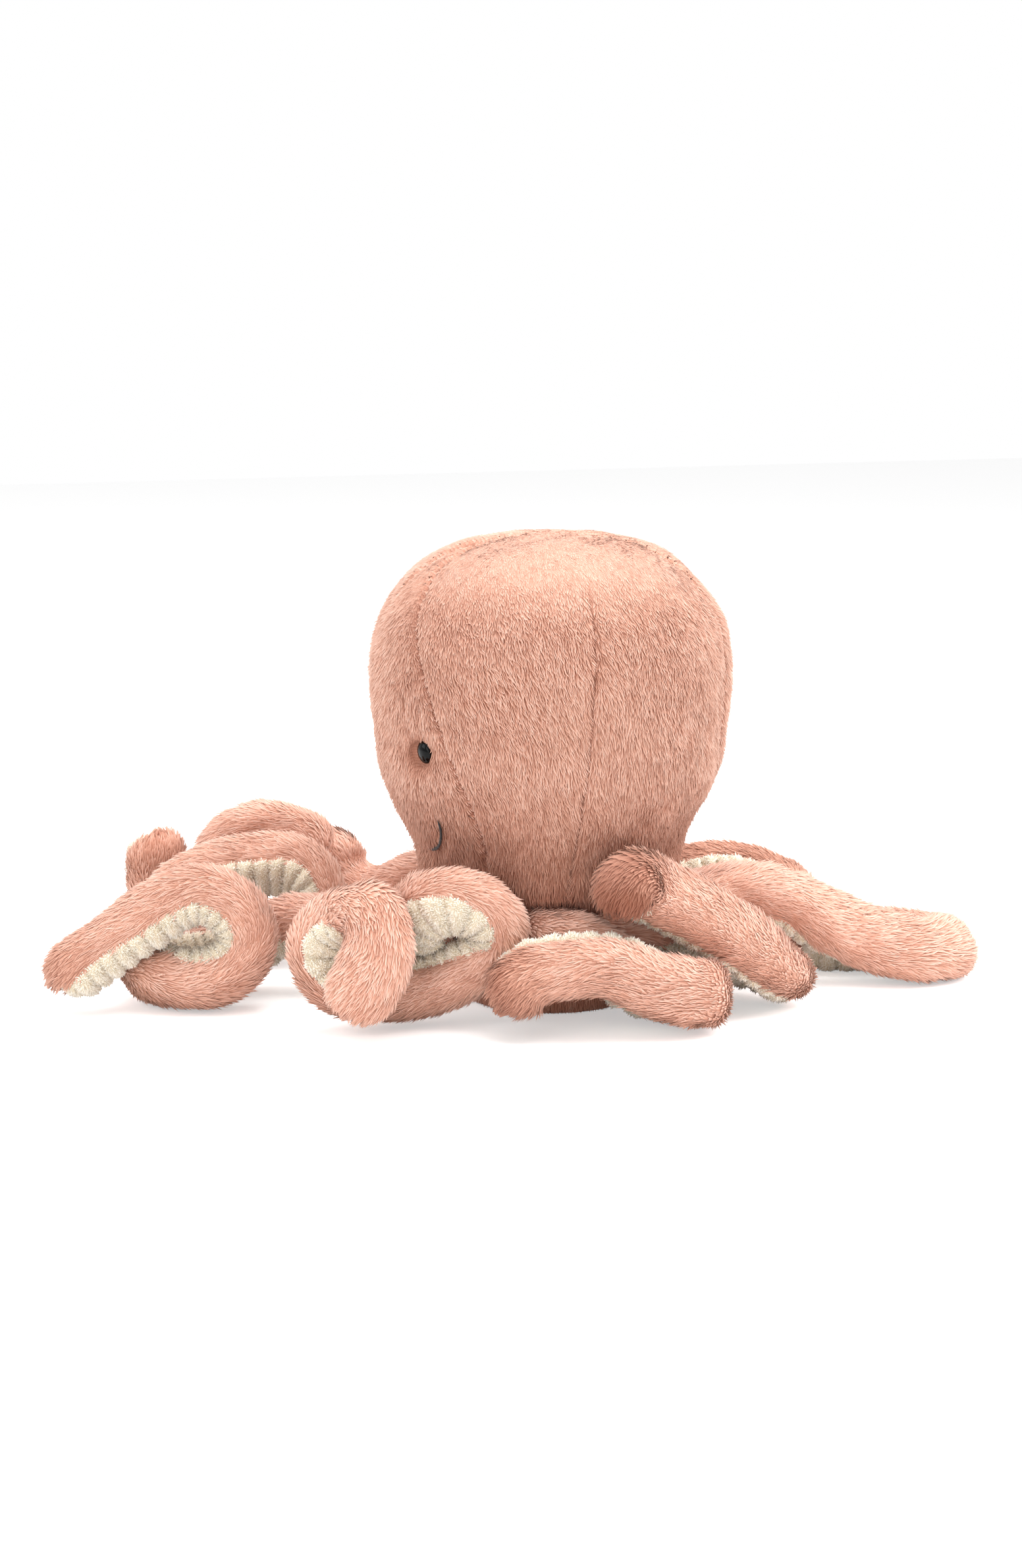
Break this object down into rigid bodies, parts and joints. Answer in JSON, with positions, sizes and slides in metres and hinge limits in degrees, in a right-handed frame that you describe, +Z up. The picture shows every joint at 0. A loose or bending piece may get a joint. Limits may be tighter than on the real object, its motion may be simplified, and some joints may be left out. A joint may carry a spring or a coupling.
{
  "type": "plush octopus",
  "caption": "Stuffed toy octopus with a tall round pink fur head, small black eyes, a stitched smile and curled arms with cream ribbed undersides.",
  "frame": {"origin": "on the floor under the middle of the head, at the middle of the base disc's underside", "axes": "+Z up through the crown, -Y the way the face looks, +X the toy's own left side"},
  "size_m": [0.3435, 0.4992, 0.2505],
  "materials": {
    "pink_fur": "short dense pile fur, matte, warm pink",
    "deep_pink_fur": "short pile fur pressed flat, matte, deeper pink",
    "cream_ribbed_cloth": "cream terry cloth sewn in cross ribs, matte",
    "polyester_filling": "loose white polyester fibre",
    "bean_pouch_cloth": "plain woven inner pouch of plastic beans",
    "black_plastic": "high gloss black",
    "white_plastic": "natural white moulded plastic",
    "black_thread": "thick matte embroidery thread"
  },
  "bodies": {
    "body": {"face_panel": "pink_fur", "back_panel": "pink_fur", "left_side_panel": "pink_fur", "right_side_panel": "pink_fur", "head_stuffing": "polyester_filling", "base_disc": "deep_pink_fur", "base_band": "deep_pink_fur", "bean_pouch": "bean_pouch_cloth", "left_eye": "black_plastic", "right_eye": "black_plastic", "left_eye_washer": "white_plastic", "right_eye_washer": "white_plastic", "mouth_stitching": "black_thread"},
    "face_left_arm": {"face_left_arm_sleeve": "pink_fur", "face_left_arm_underside": "cream_ribbed_cloth", "face_left_arm_stuffing": "polyester_filling"},
    "left_front_arm": {"left_front_arm_sleeve": "pink_fur", "left_front_arm_underside": "cream_ribbed_cloth", "left_front_arm_stuffing": "polyester_filling"},
    "left_rear_arm": {"left_rear_arm_sleeve": "pink_fur", "left_rear_arm_underside": "cream_ribbed_cloth", "left_rear_arm_stuffing": "polyester_filling"},
    "back_left_arm": {"back_left_arm_sleeve": "pink_fur", "back_left_arm_underside": "cream_ribbed_cloth", "back_left_arm_stuffing": "polyester_filling"},
    "back_right_arm": {"back_right_arm_sleeve": "pink_fur", "back_right_arm_underside": "cream_ribbed_cloth", "back_right_arm_stuffing": "polyester_filling"},
    "right_rear_arm": {"right_rear_arm_sleeve": "pink_fur", "right_rear_arm_underside": "cream_ribbed_cloth", "right_rear_arm_stuffing": "polyester_filling"},
    "right_front_arm": {"right_front_arm_sleeve": "pink_fur", "right_front_arm_underside": "cream_ribbed_cloth", "right_front_arm_stuffing": "polyester_filling"},
    "face_right_arm": {"face_right_arm_sleeve": "pink_fur", "face_right_arm_underside": "cream_ribbed_cloth", "face_right_arm_stuffing": "polyester_filling"}
  },
  "joints": [
    {"name": "face_left_arm_seam", "type": "hinge", "parent": "body", "child": "face_left_arm", "pos_m": [0.02231, -0.05386, 0.048], "axis": [-0.9239, -0.3827, 0], "range_deg": [-20, 20]},
    {"name": "left_front_arm_seam", "type": "hinge", "parent": "body", "child": "left_front_arm", "pos_m": [0.05386, -0.02231, 0.048], "axis": [-0.3827, -0.9239, 0], "range_deg": [-20, 8]},
    {"name": "left_rear_arm_seam", "type": "hinge", "parent": "body", "child": "left_rear_arm", "pos_m": [0.05386, 0.02231, 0.048], "axis": [0.3827, -0.9239, 0], "range_deg": [-5, 8]},
    {"name": "back_left_arm_seam", "type": "hinge", "parent": "body", "child": "back_left_arm", "pos_m": [0.02231, 0.05386, 0.048], "axis": [0.9239, -0.3827, 0], "range_deg": [-30, 30]},
    {"name": "back_right_arm_seam", "type": "hinge", "parent": "body", "child": "back_right_arm", "pos_m": [-0.02231, 0.05386, 0.048], "axis": [0.9239, 0.3827, 0], "range_deg": [-30, 35]},
    {"name": "right_rear_arm_seam", "type": "hinge", "parent": "body", "child": "right_rear_arm", "pos_m": [-0.05386, 0.02231, 0.048], "axis": [0.3827, 0.9239, 0], "range_deg": [-25, 18]},
    {"name": "right_front_arm_seam", "type": "hinge", "parent": "body", "child": "right_front_arm", "pos_m": [-0.05386, -0.02231, 0.048], "axis": [-0.3827, 0.9239, 0], "range_deg": [-30, 30]},
    {"name": "face_right_arm_seam", "type": "hinge", "parent": "body", "child": "face_right_arm", "pos_m": [-0.02231, -0.05386, 0.048], "axis": [-0.9239, 0.3827, 0], "range_deg": [-30, 35]}
  ]
}
